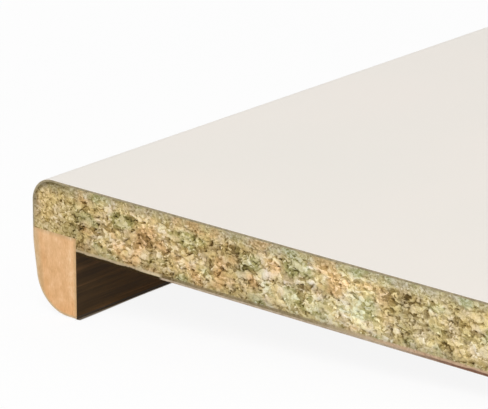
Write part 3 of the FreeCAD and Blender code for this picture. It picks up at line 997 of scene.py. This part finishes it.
def cover_core(builder, near, far, rear, shoulder):
    """The plain faces under the laminate, the strip and the backing."""
    last = len(near) - 1
    for c in range(CORNER_STEPS):
        builder.face((near[c][0], near[c + 1][0], far[c + 1][0], far[c][0]), "round", 1)
    top = [near[c][0] for c in range(CORNER_STEPS, last)] + [r[0] for r in rear]
    top += [far[c][0] for c in range(last - 1, CORNER_STEPS - 1, -1)]
    builder.face(top, "top", 1)
    foot = [near[c][-1] for c in range(shoulder, last)] + [r[-1] for r in rear]
    foot += [far[c][-1] for c in range(last - 1, shoulder - 1, -1)]
    builder.face(foot[::-1], "foot", 1)
    builder.face(near[0][::-1] + far[0], "front", 1)
    head = [near[c][SHORT_ROWS] for c in range(shoulder + 1)]
    head += [far[c][SHORT_ROWS] for c in range(shoulder, -1, -1)]
    builder.face(head[::-1], "head", 1)
    builder.face(near[shoulder][SHORT_ROWS:][::-1] + far[shoulder][SHORT_ROWS:], "shoulder", 1)


def make_core(chipboard, glued):
    builder = MeshBuilder(core_charts())
    columns, shoulder = core_columns()
    inward = {}
    near, far = (end_grid(builder, columns, shoulder, side, inward) for side in (1, -1))
    rear = rear_grid(builder, near[-1], far[-1], inward)
    cover_core(builder, near, far, rear, shoulder)
    piece = builder.build("chipboard_panel", [chipboard, glued])
    ways = np.zeros((len(builder.points), 3))
    ways[list(inward)] = list(inward.values())
    point_vectors(piece.data, RELIEF, ways)
    return piece


def carve(piece):
    """Sinks the sawn faces by the chip texture's pits and steps, as real geometry."""
    tree = bpy.data.node_groups.new("chip_relief", "GeometryNodeTree")
    for way in ("INPUT", "OUTPUT"):
        tree.interface.new_socket("Geometry", in_out=way, socket_type="NodeSocketGeometry")
    nodes = Nodes(tree)
    start = nodes.add("NodeGroupInput")
    end = nodes.add("NodeGroupOutput")
    place, inward = (
        nodes.add("GeometryNodeInputNamedAttribute", {"Name": name}, data_type="FLOAT_VECTOR")
        for name in (SECTION, RELIEF)
    )
    chips = chip_field(nodes, place.outputs["Attribute"])
    depth = nodes.times(chips["step"], STEP_DEPTH)
    depth = nodes.math("MULTIPLY_ADD", chips["tilt"], TILT_DEPTH, depth)
    depth = nodes.largest(nodes.times(depth, chips["sound"]), 0.0)
    depth = nodes.math("MULTIPLY_ADD", chips["pit"], PIT_DEPTH, depth)
    sink = nodes.scaled(inward.outputs["Attribute"], nodes.times(depth, MM))
    moved = nodes.add("GeometryNodeSetPosition", {"Geometry": start.outputs[0], "Offset": sink})
    nodes.feed(end.inputs[0], moved.outputs[0])
    modifier = piece.modifiers.new("relief", "NODES")
    modifier.node_group = tree
    bpy.context.view_layer.update()
    graph = bpy.context.evaluated_depsgraph_get()
    carved = bpy.data.meshes.new_from_object(piece.evaluated_get(graph))
    piece.modifiers.clear()
    plain = piece.data
    piece.data = carved
    carved.name = piece.name
    bpy.data.meshes.remove(plain)
    bpy.data.node_groups.remove(tree)


def place_piece(piece, node):
    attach(piece, "root")
    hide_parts(node)


panel = make_core(chipboard_material(), glued_material())
carve(panel)
place_piece(panel, "chipboard_core")
place_piece(make_strip(mdf_material(), painted_shade_back_material()), "nose_strip")
place_piece(make_laminate(decor_material(), kraft_material()), "top_laminate")
brown_sheet = backing_material("backing_brown", cut_edge=False)
brown_edge = backing_material("backing_edge", cut_edge=True)
place_piece(make_backing(brown_sheet, brown_edge), "backing_laminate")

# Stage: a white floor that keeps a faint shadow and has a painted contact shadow, a dark line
# where the nose touches it, and soft light all round.

FLOOR_REACH = 8.0  # m
FLOOR_LEVEL = -0.0001
FLOOR_GREY = (0.9, 0.9, 0.9, 1.0)
FLOOR_WHITE = 0.90  # share of pure white in what the camera sees of the floor by the board
SHADOW_POOL = (0.55, 1.0, 0.0)  # the floor turns pure white in an oval round the board
SHADOW_EDGE = (0.30, 0.75)  # m
WORLD_LIGHT = 0.45
NOSE_ARRIS = (0.0, STRIP_BACK, -NOSE)
CONTACT = 1.4  # reach of the painted contact shadow behind the nose, where the board touches the floor, mm
CONTACT_LEAD = 0.35  # where it starts, in front of the arris
CONTACT_WIDE = 1.25  # how wide it is at the near end
CONTACT_RUN = 38.0  # how far along the nose that width fades out
CONTACT_SOFT = 0.5  # how far its edge fades to either side
# Colour of the painted contact shadow.
CONTACT_SHADOW_TONE = srgb(74, 58, 30)


def seen_share(nodes):
    """One for rays that show a surface to the camera, zero for those that light others."""
    ray = nodes.add("ShaderNodeLightPath").outputs
    kinds = ("Is Camera Ray", "Is Glossy Ray", "Is Transmission Ray")
    return nodes.largest(*(ray[kind] for kind in kinds))


def clear_of_painted_contact_shadow(nodes, spot):
    """Zero on the painted contact shadow behind the nose, one on the rest of the floor."""
    x, y = nodes.parts(spot)[:2]
    past = nodes.math("SUBTRACT", y, float(to_row(NOSE_ARRIS)[1]))
    near = nodes.add("ShaderNodeAmbientOcclusion", {"Distance": CONTACT * MM}, samples=8)
    clear = nodes.fade(near.outputs["AO"], 0.5, 0.8)
    wide = nodes.fade(x, (HALF - CONTACT_RUN) * MM, HALF * MM, 0.0, CONTACT_WIDE * MM)
    soft_from = nodes.math("SUBTRACT", wide, CONTACT_SOFT * MM)
    soft_to = nodes.math("ADD", wide, CONTACT_SOFT * MM)
    line = nodes.fade(past, soft_from, soft_to)
    beside = nodes.math("GREATER_THAN", nodes.math("ABSOLUTE", x), HALF * MM)
    clear = nodes.math("MINIMUM", clear, nodes.largest(line, beside))
    behind = nodes.math("GREATER_THAN", past, -CONTACT_LEAD * MM)
    return nodes.blend(behind, 1.0, clear)


def floor_material():
    made = bpy.data.materials.new("floor_white")
    made.use_nodes = True
    nodes = Nodes(made.node_tree)
    made.node_tree.nodes.clear()
    spot = nodes.add("ShaderNodeNewGeometry").outputs["Position"]
    tone = nodes.mix(clear_of_painted_contact_shadow(nodes, spot), CONTACT_SHADOW_TONE, (1.0, 1.0, 1.0))
    glow = nodes.add("ShaderNodeEmission", {"Color": tone})
    diffuse = nodes.add("ShaderNodeBsdfDiffuse", {"Color": FLOOR_GREY})
    away = nodes.length(nodes.stretch(spot, SHADOW_POOL))
    white = nodes.fade(away, *SHADOW_EDGE, FLOOR_WHITE, 1.0)
    share = nodes.times(seen_share(nodes), white)
    shaders = {0: share, 1: diffuse.outputs[0], 2: glow.outputs[0]}
    mixed = nodes.add("ShaderNodeMixShader", shaders)
    nodes.add("ShaderNodeOutputMaterial", {"Surface": mixed.outputs[0]})
    return made


def make_floor():
    mesh = bpy.data.meshes.new("floor")
    ways = [(-1, -1), (1, -1), (1, 1), (-1, 1)]
    corners = [(x * FLOOR_REACH, y * FLOOR_REACH, FLOOR_LEVEL) for x, y in ways]
    mesh.from_pydata(corners, [], [(0, 1, 2, 3)])
    floor = bpy.data.objects.new("floor", mesh)
    bpy.context.scene.collection.objects.link(floor)
    mesh.materials.append(floor_material())


def make_world():
    world = bpy.data.worlds.new("studio")
    bpy.context.scene.world = world
    world.use_nodes = True
    nodes = Nodes(world.node_tree)
    world.node_tree.nodes.clear()
    seen = seen_share(nodes)
    strength = nodes.math("MULTIPLY_ADD", seen, 1.0 - WORLD_LIGHT, WORLD_LIGHT)
    sky = nodes.add("ShaderNodeBackground", {"Color": (1, 1, 1, 1), "Strength": strength})
    nodes.add("ShaderNodeOutputWorld", {"Surface": sky.outputs[0]})


def soft_light(name, place, target, size, power):
    lamp = bpy.data.lights.new(name, "AREA")
    lamp.shape = "DISK"
    lamp.size = size
    lamp.energy = power
    holder = bpy.data.objects.new(name, lamp)
    bpy.context.scene.collection.objects.link(holder)
    holder.location = place
    aim = Vector(target) - Vector(place)
    holder.rotation_euler = aim.to_track_quat("-Z", "Y").to_euler()


make_floor()
make_world()
soft_light("key", place=(2.2, 0.9, 2.4), target=(0.3, 0.0, 0.0), size=1.8, power=62.0)
soft_light("fill", place=(-1.2, 1.8, 1.8), target=(0.0, 0.0, 0.0), size=1.8, power=10.0)
soft_light("low_fill", place=(0.9, 2.4, 0.35), target=(0.1, 0.0, 0.02), size=0.6, power=8.0)

# Camera: fitted to the photo's straight edges, in section axes at the near end.
PHOTO_WIDTH = 488
FOCAL_PX = 3445.0
SENSOR = 36.0
AZIMUTH, ELEVATION, ROLL = (math.radians(a) for a in (130.32, 18.68, 0.14))
EYE = (HALF + 671.17, 648.77, 306.00)
CLIP_START, CLIP_END = 0.01, 50.0


def make_camera():
    back = Vector(
        (
            math.sin(AZIMUTH) * math.cos(ELEVATION),
            -math.cos(AZIMUTH) * math.cos(ELEVATION),
            math.sin(ELEVATION),
        )
    )
    right = Vector((0, 0, 1)).cross(back).normalized()
    up = back.cross(right)
    rolled_right = math.cos(ROLL) * right + math.sin(ROLL) * up
    rolled_up = math.cos(ROLL) * up - math.sin(ROLL) * right
    axes = [turn_to_row(axis) for axis in (rolled_right, rolled_up, back)]
    camera = bpy.data.objects.new("camera", bpy.data.cameras.new("camera"))
    bpy.context.scene.collection.objects.link(camera)
    matrix = Matrix(axes).transposed().to_4x4()
    matrix.translation = Vector(to_row(EYE))
    camera.matrix_world = matrix
    camera.data.sensor_fit = "HORIZONTAL"
    camera.data.sensor_width = SENSOR
    camera.data.lens = FOCAL_PX * SENSOR / PHOTO_WIDTH
    camera.data.clip_start = CLIP_START
    camera.data.clip_end = CLIP_END
    bpy.context.scene.camera = camera


make_camera()
bpy.context.scene.view_settings.view_transform = "Standard"
